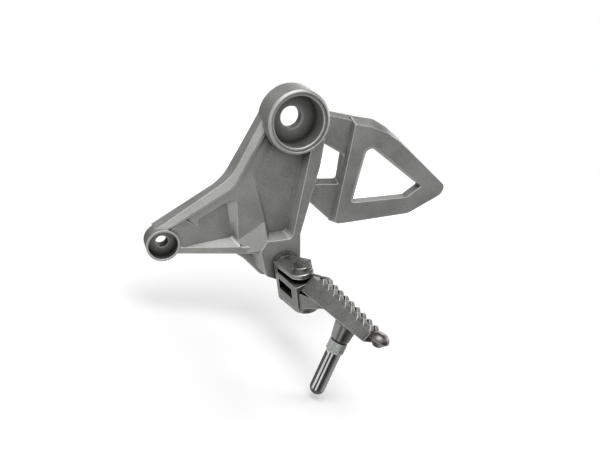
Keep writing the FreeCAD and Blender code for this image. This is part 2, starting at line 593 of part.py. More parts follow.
def return_spring():
    """Torsion spring that holds the peg down against its stop; its tails run on in line with the coil."""
    turn = math.hypot(2 * math.pi * COIL_RADIUS, COIL_PITCH)
    rise = COIL_PITCH / turn
    around = 2 * math.pi * COIL_RADIUS / turn
    low = ROOT_TOP + WIRE_RADIUS + COIL_GAP + COIL_PEG_TAIL * rise
    high = low + COIL_PITCH * COIL_TURNS
    start = Vector(0, COIL_RADIUS, low)
    end = Vector(-COIL_RADIUS, 0, high)
    helix = Part.makeHelix(COIL_PITCH, COIL_PITCH * COIL_TURNS, COIL_RADIUS)
    helix.Placement = FreeCAD.Placement(Vector(0, 0, low), FreeCAD.Rotation(Vector(0, 0, 1), 90))
    section = Part.Wire(Part.makeCircle(WIRE_RADIUS, start, Vector(-around, 0, rise)))
    coil = Part.Wire(helix).makePipeShell([section], True, True)
    peg_tail = Part.makeCylinder(WIRE_RADIUS, COIL_PEG_TAIL, start, Vector(around, 0, -rise))
    ear_tail = Part.makeCylinder(WIRE_RADIUS, COIL_EAR_TAIL, end, Vector(0, -around, rise))
    spring = coil.multiFuse([peg_tail, ear_tail])
    return moved_copy(spring, joint_frame())


def root_outline(stop):
    """Plan of the peg's root: straight on the stop side, cut back on the side it folds toward."""
    return [(-stop, -ROOT_NEAR), (ROOT_END, -ROOT_NEAR), (ROOT_END, ROOT_FAR), (ROOT_CUT_OUT, ROOT_FAR),
            (-stop, -ROOT_CUT_SIDE)]


def root_bottom():
    """Underside of the peg's root, just clear of the lower ear."""
    return ROOT_PLAY + LOWER_EAR_THICKNESS - EAR_BOTTOM


def peg_root():
    """Forked root of the peg: two plates on the pin joined by a block."""
    stop = WEB_BACK - WEB_THICKNESS - ROOT_STOP_GAP
    bottom = root_bottom()
    upper = prism(root_outline(stop), ROOT_TOP - ROOT_UPPER_PLATE, ROOT_TOP)
    lower = prism(root_outline(stop), bottom, bottom + ROOT_LOWER_PLATE)
    block = prism(root_outline(-ROOT_BLOCK_START), bottom, ROOT_TOP)
    root = upper.multiFuse([lower, block]).removeSplitter()
    corners = [edge for edge in root.Edges if abs(edge.tangentAt(edge.FirstParameter).z) > RUNS_ALONG]
    corners = [edge for edge in corners if edge.CenterOfMass.x < 0]
    return root.makeFillet(ROOT_CORNER, corners)


def section(frame, corners):
    """Closed four-sided wire in a frame; each corner is x, y and z there."""
    points = [frame.multVec(Vector(*corner)) for corner in corners]
    return Part.makePolygon(points + [points[0]])


def along_bar(out, root_value, tip_value):
    """Value that changes evenly from the root of the bar to its tip."""
    share = (out - BAR_TAPER_START) / (BAR_END - BAR_TAPER_START)
    return root_value + (tip_value - root_value) * share


def bar_section(out):
    """Corners of the bar at a distance from the pin: narrow at the tread, wider below."""
    depth = along_bar(out, BAR_ROOT_DEPTH, BAR_TIP_DEPTH)
    far = along_bar(out, BAR_ROOT_WIDTH, BAR_TIP_WIDTH) - BAR_NEAR
    low = TREAD_HEIGHT - depth
    return [(out, -BAR_NEAR - BAR_NEAR_SLOPE * depth, low), (out, far + BAR_FAR_SLOPE * depth, low),
            (out, far, TREAD_HEIGHT), (out, -BAR_NEAR, TREAD_HEIGHT)]


def ear_swing():
    """Room the upper ear takes above the peg's root as the peg folds from rest to its limit."""
    shift = EAR_RADIUS - UPPER_EAR_RADIUS
    round_end = Part.makeCylinder(UPPER_EAR_RADIUS + BAR_CLEARANCE, BAR_SWING, Vector(0, -shift, ROOT_TOP))
    reach = math.hypot(EAR_STOP_BACK, EAR_STOP_SIDE)
    angle = math.atan2(EAR_STOP_SIDE, -EAR_STOP_BACK) - math.radians(FOLD_LIMIT)
    stop_out = reach * math.cos(angle) + BAR_CLEARANCE
    stop_side = reach * math.sin(angle)
    corners = [(-BAR_SWING, -EAR_RADIUS), (0, -EAR_RADIUS), (UPPER_EAR_RADIUS, 0), (stop_out, stop_side),
               (stop_out, BAR_SWING), (-BAR_SWING, BAR_SWING)]
    return prism(corners, ROOT_TOP, ROOT_TOP + BAR_SWING).fuse(round_end)


def hump():
    """Smooth first tooth of the far row, which rises from the root."""
    half = along_bar(HUMP_CREST_START, BAR_ROOT_WIDTH, BAR_TIP_WIDTH) / 4
    near = 2 * half - BAR_NEAR + TOOTH_SIDE_GAP
    width = 2 * (half - TOOTH_SIDE_GAP)
    end = TOOTH_FIRST + TOOTH_PITCH / 2
    low = TREAD_HEIGHT - TOOTH_SINK
    high = TREAD_HEIGHT + HUMP_HEIGHT
    profile = [(HUMP_START, low), (HUMP_SHOULDER, TREAD_HEIGHT + HUMP_SHOULDER_HEIGHT),
               (HUMP_CREST_START, high), (HUMP_CREST_END, high), (end, low)]
    points = [Vector(out, near, height) for out, height in profile]
    face = Part.Face(Part.makePolygon(points + [points[0]]))
    block = face.extrude(Vector(0, width, 0))
    upper = [edge for edge in block.Edges if edge.CenterOfMass.z > TREAD_HEIGHT]
    rims = [edge for edge in upper if abs(edge.tangentAt(0).y) < RUNS_OFF]
    return block.makeChamfer(HUMP_BEVEL, rims)


def peg_bar():
    """Tapered bar of the peg with its hump, cut back where the upper ear swings past it."""
    frame = bar_frame()
    ends = [section(frame, bar_section(BAR_START)), section(frame, bar_section(BAR_END))]
    bar = Part.makeLoft(ends, True, True)
    return bar.fuse(moved_copy(hump(), frame)).cut(moved_copy(ear_swing(), joint_frame()))


def peg_lump():
    """Swelling under the bar that carries its load into the root."""
    near = BLEND_INSET - ROOT_NEAR
    far = ROOT_FAR - BLEND_INSET
    low = root_bottom() + BLEND_INSET
    start = [(LUMP_START, near, low), (LUMP_START, far, low), (LUMP_START, far, LUMP_TOP),
             (LUMP_START, near, LUMP_TOP)]
    bar_low, bar_far_low, bar_far, bar_high = bar_section(LUMP_END)
    floor = bar_low[2] + BLEND_INSET
    high = floor + LUMP_RISE
    end = [(LUMP_END, bar_low[1] + LUMP_MARGIN, floor), (LUMP_END, bar_far_low[1] - LUMP_MARGIN, floor),
           (LUMP_END, bar_far[1], high), (LUMP_END, bar_low[1] + LUMP_RISE, high)]
    return Part.makeLoft([section(joint_frame(), start), section(bar_frame(), end)], True, True)


def tooth(out, row):
    """One blunt four-sided tooth of the tread; the row is 0 on the near side and 1 on the far side."""
    base = TOOTH_PITCH / 2 - TOOTH_GAP
    half = along_bar(out, BAR_ROOT_WIDTH, BAR_TIP_WIDTH) / 4
    side = half * (1 + 2 * row) - BAR_NEAR
    width = half - TOOTH_SIDE_GAP
    crest = TOOTH_CREST / 2
    rim = width - TOOTH_SIDE_TAPER
    low = TREAD_HEIGHT - TOOTH_SINK
    high = TREAD_HEIGHT + TOOTH_HEIGHT
    foot = [(out - base, side - width, low), (out + base, side - width, low),
            (out + base, side + width, low), (out - base, side + width, low)]
    top = [(out - crest, side - rim, high), (out + crest, side - rim, high),
           (out + crest, side + rim, high), (out - crest, side + rim, high)]
    return Part.makeLoft([section(FreeCAD.Placement(), foot), section(FreeCAD.Placement(), top)], True, True)


def tip_knob():
    """Polished knob that closes the bar: a bulged disc with a ridge round it."""
    bottom = Vector(0, 0, TREAD_HEIGHT - TIP_LOW)
    foot = Vector(TIP_FOOT_RADIUS, 0, TREAD_HEIGHT - TIP_LOW)
    ridge = Vector(TIP_RADIUS, 0, TREAD_HEIGHT - TIP_RIDGE)
    bulge = Vector(TIP_BULGE_RADIUS, 0, TREAD_HEIGHT + TIP_BULGE)
    crown = Vector(TIP_CROWN_RADIUS, 0, TREAD_HEIGHT + TIP_HIGH)
    top = Vector(0, 0, TREAD_HEIGHT + TIP_HIGH)
    edges = [
        Part.makeLine(bottom, foot),
        Part.makeLine(foot, ridge),
        Part.Arc(ridge, bulge, crown).toShape(),
        Part.makeLine(crown, top),
        Part.makeLine(top, bottom),
    ]
    knob = Part.Face(Part.Wire(edges)).revolve(Vector(0, 0, 0), Vector(0, 0, 1), 360)
    return moved_copy(knob, FreeCAD.Placement(Vector(TIP_CENTRE, TIP_SIDE, 0), FreeCAD.Rotation()))


def footpeg():
    """One aluminium casting: root, toothed bar, tip knob and the boss for the feeler."""
    joint = joint_frame()
    bar_axes = bar_frame()
    boss_height = TREAD_HEIGHT - FEELER_BOSS_SINK - FEELER_BOSS_BOTTOM
    boss_base = Vector(FEELER_OUT, FEELER_SIDE, FEELER_BOSS_BOTTOM)
    boss = Part.makeCone(FEELER_BOSS_RADIUS, FEELER_BOSS_TOP_RADIUS, boss_height, boss_base)
    fittings = [boss, tip_knob()]
    for number in range(TOOTH_COUNT):
        for row in (0, 1):
            if (number, row) != (0, 1):
                fittings.append(tooth(TOOTH_FIRST + TOOTH_PITCH * number, row))
    fittings = [moved_copy(fitting, bar_axes) for fitting in fittings]
    peg = peg_bar().fuse(moved_copy(peg_root(), joint)).fuse(peg_lump())
    peg = peg.multiFuse(fittings)
    pin_hole = Part.makeCylinder(PIN_RADIUS + PIN_PEG_CLEARANCE, 4 * EAR_TOP, Vector(0, 0, -2 * EAR_TOP))
    feeler_hole = Part.makeCylinder(FEELER_THREAD_RADIUS + FEELER_THREAD_CLEARANCE, FEELER_HOLE_DEPTH + SINK,
                                    Vector(FEELER_OUT, FEELER_SIDE, FEELER_BOSS_BOTTOM - SINK))
    peg = peg.cut(moved_copy(pin_hole, joint)).cut(moved_copy(feeler_hole, bar_axes))
    return peg.removeSplitter()


def feeler():
    """Bolt under the peg that touches the road first: thread, hexagon and a round-ended rod."""
    seat = FEELER_BOSS_BOTTOM - FEELER_WASHER
    under = seat - FEELER_HEX_HEIGHT
    thread = Part.makeCylinder(FEELER_THREAD_RADIUS, FEELER_THREAD + FEELER_WASHER, Vector(0, 0, seat))
    hexagon_part = hexagon(FEELER_HEX, under, seat)
    narrow = FEELER_HEX / 2 + FEELER_HEX_TRIM
    wide = narrow + FEELER_HEX_HEIGHT * FEELER_HEX_SLOPE
    cone_up = Part.makeCone(wide, narrow, FEELER_HEX_HEIGHT, Vector(0, 0, under))
    cone_down = Part.makeCone(narrow, wide, FEELER_HEX_HEIGHT, Vector(0, 0, under))
    hexagon_part = hexagon_part.common(cone_up).common(cone_down)
    end = under - FEELER_ROD + FEELER_ROD_RADIUS
    rod = Part.makeCylinder(FEELER_ROD_RADIUS, under - end, Vector(0, 0, end))
    ball = Part.makeSphere(FEELER_ROD_RADIUS, Vector(0, 0, end))
    shape = thread.multiFuse([hexagon_part, rod, ball]).removeSplitter()
    turn = FreeCAD.Rotation(Vector(0, 0, 1), FEELER_TURN)
    turned = FreeCAD.Placement(Vector(FEELER_OUT, FEELER_SIDE, 0), turn)
    return moved_copy(moved_copy(shape, turned), bar_frame())


def feeler_washer():
    """Spring washer between the feeler's hexagon and the boss."""
    low = FEELER_BOSS_BOTTOM - FEELER_WASHER
    disc = Part.makeCylinder(FEELER_WASHER_RADIUS, FEELER_WASHER, Vector(FEELER_OUT, FEELER_SIDE, low))
    hole = Part.makeCylinder(FEELER_THREAD_RADIUS + FEELER_THREAD_CLEARANCE, FEELER_WASHER + 2 * SINK,
                             Vector(FEELER_OUT, FEELER_SIDE, low - SINK))
    return moved_copy(disc.cut(hole), bar_frame())


os.makedirs("parts", exist_ok=True)
write("hanger", hanger())
write("step_joint", step_joint())
write("joint_bolt", joint_bolt())
write("joint_washer", joint_washer())
write("pivot_pin", pivot_pin())
write("pin_washers", pin_washers())
write("split_pin", split_pin())
write("return_spring", return_spring())
write("footpeg", footpeg())
write("feeler", feeler())
write("feeler_washer", feeler_washer())
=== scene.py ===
"""Looks of a rider's footpeg hanger: materials, light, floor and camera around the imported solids."""

import math

import bpy
from mathutils import Matrix, Vector


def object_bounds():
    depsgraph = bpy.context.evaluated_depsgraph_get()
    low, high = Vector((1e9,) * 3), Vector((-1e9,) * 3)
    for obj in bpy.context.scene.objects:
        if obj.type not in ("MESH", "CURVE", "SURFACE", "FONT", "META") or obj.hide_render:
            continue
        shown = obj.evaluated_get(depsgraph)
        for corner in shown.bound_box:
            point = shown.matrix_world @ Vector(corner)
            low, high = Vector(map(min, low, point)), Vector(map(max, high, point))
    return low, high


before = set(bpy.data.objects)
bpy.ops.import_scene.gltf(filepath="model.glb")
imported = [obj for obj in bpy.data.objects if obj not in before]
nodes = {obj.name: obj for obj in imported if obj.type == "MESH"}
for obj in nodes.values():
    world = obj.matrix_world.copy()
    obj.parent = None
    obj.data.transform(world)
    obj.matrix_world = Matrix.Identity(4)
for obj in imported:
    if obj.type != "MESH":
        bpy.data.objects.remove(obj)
cad_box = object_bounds()

# Lengths are in metres and headings in degrees

# Camera of the photograph
CAMERA_PLACE = Vector((-0.16605, -0.38457, 0.03629))
CAMERA_FORWARD = Vector((0.46231, 0.85246, -0.24410))
CAMERA_UP = Vector((-0.23590, 0.38361, 0.89286))
CAMERA_LENS = 36.0
CAMERA_SENSOR = 36.0
CAMERA_NEAREST = 0.01
CAMERA_FARTHEST = 50.0

# Floor under the lowest point of the part, which glows a little more far from it
FLOOR_GAP = 0.004
FLOOR_HALF = 3.0
FLOOR_PATCH = 6.0
FLOOR_SHADES = (0.80, 0.84)
FLOOR_ROUGH = 0.9
FLOOR_GLOW = (0.05, 0.62)
FLOOR_GLOW_STRETCH = (0.25, 0.95)

# Light of the studio; each lamp has a place, a width and height, and a power
ROOM_LIGHT = 0.5
ROOM_SEEN = 1.0
LAMP_TARGET = Vector((0.02, -0.03, -0.06))
LAMPS = {
    "lamp_key": ((-0.45, -0.42, 0.65), (0.70, 0.60), 3.0),
    "lamp_back": ((0.52, 0.85, 0.32), (0.90, 0.45), 3.0),
    "lamp_above": ((-0.16, -0.26, 0.80), (0.60, 0.60), 3.6),
    "lamp_side": ((0.80, 0.05, 0.40), (0.60, 0.60), 3.0),
}

# Dark cards: a plan whose second and third corners are the far side, a height there and a shade
CARD_LIFT = 0.001
CARD_LEFT = [(-0.12, 0.03), (-0.80, 0.10), (-0.10, 0.75), (0.02, 0.12)]
CARD_LEFT_HEIGHT = 0.35
CARD_LEFT_SHADE = 0.34
CARD_RIGHT = [(0.16, -0.12), (0.85, -0.45), (0.02, -1.00), (0.04, -0.30)]
CARD_RIGHT_HEIGHT = 0.42
CARD_RIGHT_SHADE = 0.10

# Level cards, one close above the floor and one overhead
SHEET_LIFT = 0.002
CARD_NEAR = [(-0.05, 0.02), (-0.50, 0.05), (-0.30, 0.38), (0.02, 0.20)]
CARD_NEAR_SHADE = 0.06
CARD_TOP = [(-0.50, 0.14), (0.06, 0.14), (0.12, -0.25), (0.90, -0.25), (0.90, 1.10), (-0.50, 1.10)]
CARD_TOP_LEVEL = 0.50
CARD_TOP_SHADE = 0.15

# Dark screens that stand on the floor round the feeler: two headings, a height and a shade
FEELER_FOOT = Vector((0.0510, -0.0934))
SCREEN_INNER = 0.012
SCREEN_REACH = 0.030
SCREEN_STEP = 10.0
SCREENS = [
    (70.0, 163.0, 0.024, 0.14),
    (193.0, 218.0, 0.050, 0.10),
    (240.0, 282.0, 0.050, 0.06),
    (282.0, 306.0, 0.050, 0.18),
    (306.0, 410.0, 0.050, 0.42),
]
FOOT_SHADE = 0.15

# Detail and roughness of the noises, and the stretches of a noise over which a finish changes
FEW_WAVES = 2.0
SOME_WAVES = 3.0
MANY_WAVES = 4.0
NOISE_ROUGH = 0.55
PIT_ROUGH = 0.6
GRAIN_ROUGH = 0.7
NARROW = (0.35, 0.65)
BROAD = (0.30, 0.70)

# Painted shade and painted highlights: how open a face is where the painted shade darkens it, where an
# edge counts as an outer one for a painted highlight, and how far the softened normal agrees with the flat
# one where an edge shows
PAINTED_SHADE_STRETCH = (0.38, 0.78)
OUTER_STRETCH = (0.75, 0.95)
LEAN_STRETCH = (0.75, 0.99)
CREASE_REACH = 0.002
OPEN_SAMPLES = 8
BEVEL_SAMPLES = 6

# Sockets of the mix node, which shares names between its kinds of value
MIX_FACTOR = 0
MIX_VALUES = (2, 3)
MIX_COLOURS = (6, 7)
MIX_VALUE_OUT = 0
MIX_COLOUR_OUT = 2


def grey(share):
    """A linear grey."""
    return (share, share, share, 1.0)


def srgb(red, green, blue):
    """A linear colour from the 0 to 255 values seen in a picture."""
    def linear(value):
        share = value / 255.0
        if share <= 0.04045:
            return share / 12.92
        return ((share + 0.055) / 1.055) ** 2.4
    return (linear(red), linear(green), linear(blue), 1.0)


WHITE = grey(1.0)


def feed(tree, source, target):
    """Links a socket to another, or sets a constant on it."""
    if isinstance(source, bpy.types.NodeSocket):
        tree.links.new(source, target)
    else:
        target.default_value = source


def maths(tree, way, first, second):
    """One step of arithmetic between two values."""
    node = tree.nodes.new("ShaderNodeMath")
    node.operation = way
    feed(tree, first, node.inputs[0])
    feed(tree, second, node.inputs[1])
    return node.outputs["Value"]


def camera_rays(tree):
    """1 for what the camera sees directly, in a reflection or through glass."""
    path = tree.nodes.new("ShaderNodeLightPath")
    seen = maths(tree, "MAXIMUM", path.outputs["Is Camera Ray"], path.outputs["Is Glossy Ray"])
    return maths(tree, "MAXIMUM", seen, path.outputs["Is Transmission Ray"])


class Finish:
    """A node material that is put together from small named steps."""

    def __init__(self, name):
        self.material = bpy.data.materials.new(name)
        self.material.use_nodes = True
        self.tree = self.material.node_tree
        self.shader = self.tree.nodes["Principled BSDF"]
        self.place = self.tree.nodes.new("ShaderNodeTexCoord").outputs["Object"]

    def join(self, source, target):
        self.tree.links.new(source, target)

    def set(self, name, value):
        """Links or sets one input of the material's shader."""
        feed(self.tree, value, self.shader.inputs[name])

    def noise(self, scale, detail, roughness=NOISE_ROUGH):
        """Noise of so many waves per metre."""
        node = self.tree.nodes.new("ShaderNodeTexNoise")
        node.inputs["Scale"].default_value = scale
        node.inputs["Detail"].default_value = detail
        node.inputs["Roughness"].default_value = roughness
        self.join(self.place, node.inputs["Vector"])
        return node.outputs["Fac"]

    def ramp(self, factor, colours, stretch):
        """A colour that changes from one to another over a stretch of a factor."""
        node = self.tree.nodes.new("ShaderNodeValToRGB")
        for element, position, colour in zip(node.color_ramp.elements, stretch, colours):
            element.position = position
            element.color = colour
        self.join(factor, node.inputs["Fac"])
        return node.outputs["Color"]

    def span(self, factor, values, stretch):
        """A value that changes from one to another over a stretch of a factor."""
        node = self.tree.nodes.new("ShaderNodeMapRange")
        node.inputs["From Min"].default_value = stretch[0]
        node.inputs["From Max"].default_value = stretch[1]
        node.inputs["To Min"].default_value = values[0]
        node.inputs["To Max"].default_value = values[1]
        self.join(factor, node.inputs["Value"])
        return node.outputs["Result"]

    def mix(self, factor, first, second, way="MIX"):
        """A colour between two others, or one worked on by the other."""
        node = self.tree.nodes.new("ShaderNodeMix")
        node.data_type = "RGBA"
        node.blend_type = way
        feed(self.tree, factor, node.inputs[MIX_FACTOR])
        feed(self.tree, first, node.inputs[MIX_COLOURS[0]])
        feed(self.tree, second, node.inputs[MIX_COLOURS[1]])
        return node.outputs[MIX_COLOUR_OUT]

    def level(self, factor, first, second):
        """A value between two others."""
        node = self.tree.nodes.new("ShaderNodeMix")
        self.join(factor, node.inputs[MIX_FACTOR])
        self.join(first, node.inputs[MIX_VALUES[0]])
        self.join(second, node.inputs[MIX_VALUES[1]])
        return node.outputs[MIX_VALUE_OUT]

    def product(self, first, second):
        return maths(self.tree, "MULTIPLY", first, second)

    def larger(self, first, second):
        return maths(self.tree, "MAXIMUM", first, second)

    def flecked(self, colour, factor, shade, stretch, share):
        """The colour, partly darkened to a shade where a noise is low."""
        fleck = self.ramp(factor, (grey(shade), WHITE), stretch)
        return self.mix(share, colour, fleck, "MULTIPLY")

    def open_share(self, reach):
        """1 on open faces, less where other faces stand within a reach."""
        node = self.tree.nodes.new("ShaderNodeAmbientOcclusion")
        node.samples = OPEN_SAMPLES
        node.inputs["Distance"].default_value = reach
        return node.outputs["AO"]

    def painted_shade_in_hollows(self, colour, reach, shade):
        """Painted shade: the colour, darkened to a share of itself in recesses and inner corners."""
        painted_shade_veil = self.ramp(self.open_share(reach), (grey(shade), WHITE), PAINTED_SHADE_STRETCH)
        return self.mix(1.0, colour, painted_shade_veil, "MULTIPLY")

    def soft_normal(self, radius):
        """The normal of the surface with its edges softened."""
        node = self.tree.nodes.new("ShaderNodeBevel")
        node.samples = BEVEL_SAMPLES
        node.inputs["Radius"].default_value = radius
        return node.outputs["Normal"]

    def outer_edges(self, soft):
        """1 on sharp edges that stand out, from the softened normal; the mask of the painted edge
        highlights.
        """
        flat = self.tree.nodes.new("ShaderNodeNewGeometry")
        dot = self.tree.nodes.new("ShaderNodeVectorMath")
        dot.operation = "DOT_PRODUCT"
        self.join(soft, dot.inputs[0])
        self.join(flat.outputs["Normal"], dot.inputs[1])
        lean = self.span(dot.outputs["Value"], (1.0, 0.0), LEAN_STRETCH)
        outer = self.span(self.open_share(CREASE_REACH), (0.0, 1.0), OUTER_STRETCH)
        return self.product(lean, outer)

    def beyond(self, axis, stretch):
        """0 before a stretch along one axis of the part and 1 past it."""
        node = self.tree.nodes.new("ShaderNodeSeparateXYZ")
        self.join(self.place, node.inputs["Vector"])
        return self.span(node.outputs[axis], (0.0, 1.0), stretch)

    def bump(self, height, depth, strength, normal=None):
        """Small relief from a noise, on the flat or on the softened surface."""
        node = self.tree.nodes.new("ShaderNodeBump")
        node.inputs["Strength"].default_value = strength
        node.inputs["Distance"].default_value = depth
        self.join(height, node.inputs["Height"])
        if normal is not None:
            self.join(normal, node.inputs["Normal"])
        self.join(node.outputs["Normal"], self.shader.inputs["Normal"])


# Pits of a casting, which the zinc's mottle shares: waves per metre
CAST_PIT = 800.0

# Hanger
HANGER_PATCH = 55.0
HANGER_GRAIN = 1700.0
HANGER_COLOURS = (srgb(168, 168, 165), srgb(177, 177, 175))
HANGER_SPECK = 0.72
HANGER_SPECK_STRETCH = (0.30, 0.62)
HANGER_SPECK_SHARE = 0.75
HANGER_PIT = 0.82
HANGER_PIT_STRETCH = (0.38, 0.55)
HANGER_PIT_SHARE = 0.6
# Painted shade in hollows and creases, and painted highlights on outer edges
HANGER_SHADE_REACH = 0.017
HANGER_PAINTED_SHADE = 0.16
HANGER_CREASE_SHADE = 0.50
HANGER_EDGE = 0.0008
HANGER_PAINTED_HIGHLIGHT = srgb(228, 228, 226)
HANGER_ROUGH = (0.50, 0.60)
HANGER_BUMP_DEPTH = 0.00008
HANGER_BUMP = 0.6


def blasted_alloy(name):
    """Die-cast aluminium, shot-blasted to a satin grey, with painted shade in its hollows and creases and
    painted highlights along its outer edges.
    """
    finish = Finish(name)
    patch = finish.noise(HANGER_PATCH, MANY_WAVES)
    grain = finish.noise(HANGER_GRAIN, FEW_WAVES, GRAIN_ROUGH)
    pit = finish.noise(CAST_PIT, SOME_WAVES, PIT_ROUGH)
    colour = finish.ramp(patch, HANGER_COLOURS, NARROW)
    colour = finish.flecked(colour, grain, HANGER_SPECK, HANGER_SPECK_STRETCH, HANGER_SPECK_SHARE)
    colour = finish.flecked(colour, pit, HANGER_PIT, HANGER_PIT_STRETCH, HANGER_PIT_SHARE)
    # Painted shade in recesses and creases
    colour = finish.painted_shade_in_hollows(colour, HANGER_SHADE_REACH, HANGER_PAINTED_SHADE)
    colour = finish.painted_shade_in_hollows(colour, CREASE_REACH, HANGER_CREASE_SHADE)
    soft = finish.soft_normal(HANGER_EDGE)
    # Painted highlight along the outer edges
    colour = finish.mix(finish.outer_edges(soft), colour, HANGER_PAINTED_HIGHLIGHT)
    finish.set("Base Color", colour)
    finish.set("Metallic", 1.0)
    finish.set("Roughness", finish.span(patch, HANGER_ROUGH, BROAD))
    finish.bump(grain, HANGER_BUMP_DEPTH, HANGER_BUMP, soft)
    return finish.material


# Step joint, with painted shade in its hollows from its ears outward
JOINT_PATCH = 140.0
JOINT_GRAIN = 1500.0
JOINT_COLOURS = (srgb(108, 108, 106), srgb(152, 152, 149))
# Painted shade in the hollows, and painted highlights on outer edges
JOINT_SHADE_EARS = (-0.0212, -0.0222)
JOINT_SHADE_REACH = 0.030
JOINT_PAINTED_SHADE = 0.03
JOINT_EDGE = 0.0010
JOINT_PAINTED_HIGHLIGHT = srgb(238, 238, 236)
JOINT_ROUGH = (0.24, 0.36)
JOINT_BUMP_DEPTH = 0.00005
JOINT_BUMP = 0.15


def polished_zinc(name):
    """Forged steel, zinc plated and tumbled bright, with painted shade in the hollows between its ears and
    painted highlights on its outer edges.
    """
    finish = Finish(name)
    patch = finish.noise(JOINT_PATCH, MANY_WAVES)
    grain = finish.noise(JOINT_GRAIN, FEW_WAVES)
    colour = finish.ramp(patch, JOINT_COLOURS, BROAD)
    # Painted shade in the hollows, only from the ears outward
    painted_shade_colour = finish.painted_shade_in_hollows(colour, JOINT_SHADE_REACH, JOINT_PAINTED_SHADE)
    colour = finish.mix(finish.beyond("Y", JOINT_SHADE_EARS), colour, painted_shade_colour)
    # Painted highlight along the outer edges
    painted_highlight_mask = finish.outer_edges(finish.soft_normal(JOINT_EDGE))
    colour = finish.mix(painted_highlight_mask, colour, JOINT_PAINTED_HIGHLIGHT)
    finish.set("Base Color", colour)
    finish.set("Metallic", 1.0)
    finish.set("Roughness", finish.span(patch, JOINT_ROUGH, BROAD))
    finish.bump(grain, JOINT_BUMP_DEPTH, JOINT_BUMP)
    return finish.material


# Bolt, washers, split pin and pivot pin
PLATE_PATCH = 260.0
PLATE_GRAIN = 2200.0
PLATE_ROUGH = (0.20, 0.34)
PLATE_BUMP_DEPTH = 0.00003
PLATE_BUMP = 0.3
FASTENER_COLOURS = (srgb(168, 168, 165), srgb(206, 206, 203))
# Painted shade: the pivot pin's colours are a darker copy of the fasteners' plated zinc
PIN_SHADED_COLOURS = (srgb(98, 100, 97), srgb(130, 132, 129))


def plated_steel(name, colours):
    """Zinc on a bolt or pin, with fine handling marks."""
    finish = Finish(name)
    patch = finish.noise(PLATE_PATCH, SOME_WAVES)
    grain = finish.noise(PLATE_GRAIN, FEW_WAVES)
    finish.set("Base Color", finish.ramp(patch, colours, BROAD))
    finish.set("Metallic", 1.0)
    finish.set("Roughness", finish.span(grain, PLATE_ROUGH, BROAD))
    finish.bump(grain, PLATE_BUMP_DEPTH, PLATE_BUMP)
    return finish.material


# Return spring
WIRE_PATCH = 320.0
WIRE_COLOURS = (srgb(58, 58, 58), srgb(92, 92, 90))
WIRE_ROUGH = (0.30, 0.45)
WIRE_BUMP_DEPTH = 0.00003
WIRE_BUMP = 0.3


def spring_wire(name):
    """Oiled spring wire, dark with a dull shine."""
    finish = Finish(name)
    patch = finish.noise(WIRE_PATCH, SOME_WAVES)
    finish.set("Base Color", finish.ramp(patch, WIRE_COLOURS, BROAD))
    finish.set("Metallic", 1.0)
    finish.set("Roughness", finish.span(patch, WIRE_ROUGH, BROAD))
    finish.bump(patch, WIRE_BUMP_DEPTH, WIRE_BUMP)
    return finish.material


# Footpeg, with the stretches where its polished knob and feeler boss begin
PEG_PATCH = 90.0
PEG_GRAIN = 1900.0
PEG_COLOURS = (srgb(134, 134, 131), srgb(147, 147, 144))
PEG_PIT = 0.55
PEG_PIT_STRETCH = (0.36, 0.58)
PEG_PIT_SHARE = 0.6
# Painted shade in hollows and creases
PEG_SHADE_REACH = 0.016
PEG_PAINTED_SHADE = 0.06
PEG_CREASE_SHADE = 0.10
PEG_KNOB_OUT = (-0.1185, -0.1205)
PEG_KNOB_COLOUR = srgb(108, 105, 104)
PEG_BOSS_OUT = (-0.084, -0.086)
PEG_BOSS_DOWN = (-0.1015, -0.1030)
PEG_BOSS_COLOUR = srgb(142, 141, 139)
# Painted highlights on outer edges
PEG_EDGE = 0.0007
PEG_PAINTED_HIGHLIGHT = srgb(236, 236, 234)
PEG_CAST_ROUGH = (0.50, 0.62)
PEG_SHINE_ROUGH = (0.28, 0.36)
PEG_BUMP_DEPTH = 0.00006
PEG_BUMP = 0.45


def peg_alloy(name):
    """Cast aluminium, pitted, with painted shade in its hollows and creases and painted highlights on its
    outer edges, and with a polished knob and feeler boss.
    """
    finish = Finish(name)
    patch = finish.noise(PEG_PATCH, MANY_WAVES)
    grain = finish.noise(PEG_GRAIN, FEW_WAVES, GRAIN_ROUGH)
    pit = finish.noise(CAST_PIT, SOME_WAVES, PIT_ROUGH)
    colour = finish.ramp(patch, PEG_COLOURS, NARROW)
    colour = finish.flecked(colour, pit, PEG_PIT, PEG_PIT_STRETCH, PEG_PIT_SHARE)
    # Painted shade in recesses and creases
    colour = finish.painted_shade_in_hollows(colour, PEG_SHADE_REACH, PEG_PAINTED_SHADE)
    colour = finish.painted_shade_in_hollows(colour, CREASE_REACH, PEG_CREASE_SHADE)
    knob = finish.beyond("Y", PEG_KNOB_OUT)
    boss = finish.product(finish.beyond("Y", PEG_BOSS_OUT), finish.beyond("Z", PEG_BOSS_DOWN))
    colour = finish.mix(boss, colour, PEG_BOSS_COLOUR)
    colour = finish.mix(knob, colour, PEG_KNOB_COLOUR)
    soft = finish.soft_normal(PEG_EDGE)
    # Painted highlight along the outer edges
    colour = finish.mix(finish.outer_edges(soft), colour, PEG_PAINTED_HIGHLIGHT)
    finish.set("Base Color", colour)
    finish.set("Metallic", 1.0)
    cast = finish.span(patch, PEG_CAST_ROUGH, BROAD)
    shine = finish.span(grain, PEG_SHINE_ROUGH, BROAD)
    finish.set("Roughness", finish.level(finish.larger(knob, boss), cast, shine))
    finish.bump(grain, PEG_BUMP_DEPTH, PEG_BUMP, soft)
    return finish.material


